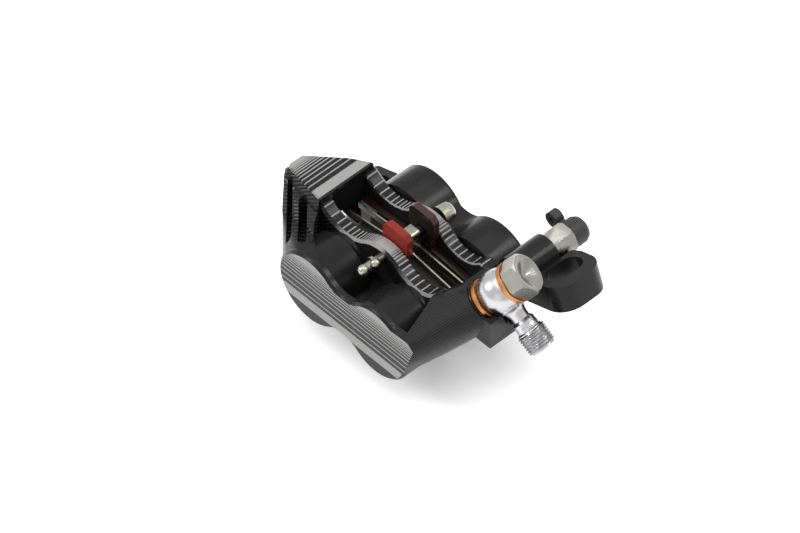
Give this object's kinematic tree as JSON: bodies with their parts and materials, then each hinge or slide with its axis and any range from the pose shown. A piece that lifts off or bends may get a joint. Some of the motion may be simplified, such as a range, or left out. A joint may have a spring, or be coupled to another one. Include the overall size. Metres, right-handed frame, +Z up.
{
  "type": "bicycle disc brake caliper",
  "caption": "One-piece hydraulic disc brake caliper with opposed pistons, pads on a pin, a swivelling hose banjo, a capped bleed nipple and slotted post-mount ears.",
  "frame": {"origin": "middle of the piston axes, in the middle plane of the brake rotor", "axes": "+X along the caliper towards the hose, +Y along the pistons away from the etched face, +Z up out of the pad window"},
  "size_m": [0.087, 0.0567, 0.0454],
  "materials": {
    "black_anodised": "black anodised, machined, with pale etched stripes",
    "piston_metal": "hard anodised, turned",
    "seal_rubber": "smooth",
    "red_backing": "red paint, bare towards the rotor",
    "friction_lining": "sintered, rough",
    "spring_steel": "nickel plated sheet",
    "nickel_plate": "nickel plated",
    "polished_silver": "polished",
    "bolt_metal": "bare turned metal",
    "copper": "bare copper",
    "cap_rubber": "moulded"
  },
  "bodies": {
    "caliper": {"caliper_body": "black_anodised", "near_left_seal": "seal_rubber", "near_right_seal": "seal_rubber", "far_left_seal": "seal_rubber", "far_right_seal": "seal_rubber", "left_bore_cap": "black_anodised", "right_bore_cap": "black_anodised", "left_cap_oring": "seal_rubber", "right_cap_oring": "seal_rubber", "pad_spring": "spring_steel", "pad_pin": "nickel_plate", "pin_clip": "nickel_plate", "banjo_bolt": "bolt_metal", "inner_washer": "copper", "outer_washer": "copper"},
    "near_left_piston": {"near_left_piston": "piston_metal"},
    "near_right_piston": {"near_right_piston": "piston_metal"},
    "far_left_piston": {"far_left_piston": "piston_metal"},
    "far_right_piston": {"far_right_piston": "piston_metal"},
    "near_pad": {"near_pad_backing": "red_backing", "near_pad_lining": "friction_lining"},
    "far_pad": {"far_pad_backing": "red_backing", "far_pad_lining": "friction_lining"},
    "banjo": {"hose_banjo": "polished_silver"},
    "nipple": {"bleed_nipple": "bolt_metal"},
    "dust_cap": {"bleed_cap": "cap_rubber"}
  },
  "joints": [
    {"name": "near_pad_slide", "type": "slide", "parent": "caliper", "child": "near_pad", "axis": [0, 1, 0], "range_m": [0, 0.0013]},
    {"name": "far_pad_slide", "type": "slide", "parent": "caliper", "child": "far_pad", "axis": [0, -1, 0], "range_m": [0, 0.0013]},
    {"name": "near_left_piston_slide", "type": "slide", "parent": "caliper", "child": "near_left_piston", "axis": [0, 1, 0], "range_m": [0, 0.0013]},
    {"name": "near_right_piston_slide", "type": "slide", "parent": "caliper", "child": "near_right_piston", "axis": [0, 1, 0], "range_m": [0, 0.0013]},
    {"name": "far_left_piston_slide", "type": "slide", "parent": "caliper", "child": "far_left_piston", "axis": [0, -1, 0], "range_m": [0, 0.0013]},
    {"name": "far_right_piston_slide", "type": "slide", "parent": "caliper", "child": "far_right_piston", "axis": [0, -1, 0], "range_m": [0, 0.0013]},
    {"name": "banjo_swivel", "type": "hinge", "parent": "caliper", "child": "banjo", "pos_m": [0.03127, 0.00074, 0.01605], "axis": [0.4822, 0.5171, 0.7071], "range_deg": [-5, 5]},
    {"name": "nipple_turn", "type": "hinge", "parent": "caliper", "child": "nipple", "pos_m": [0.0275, 0.0205, 0.0128], "axis": [0, 1, 0], "range_deg": [0, 180]},
    {"name": "dust_cap_pull", "type": "slide", "parent": "nipple", "child": "dust_cap", "axis": [0, 1, 0], "range_m": [0, 0.012]}
  ],
  "couplings": [
    {"joint": "far_pad_slide", "follows": "near_pad_slide", "ratio": 1},
    {"joint": "near_left_piston_slide", "follows": "near_pad_slide", "ratio": 1},
    {"joint": "near_right_piston_slide", "follows": "near_pad_slide", "ratio": 1},
    {"joint": "far_left_piston_slide", "follows": "near_pad_slide", "ratio": 1},
    {"joint": "far_right_piston_slide", "follows": "near_pad_slide", "ratio": 1}
  ]
}
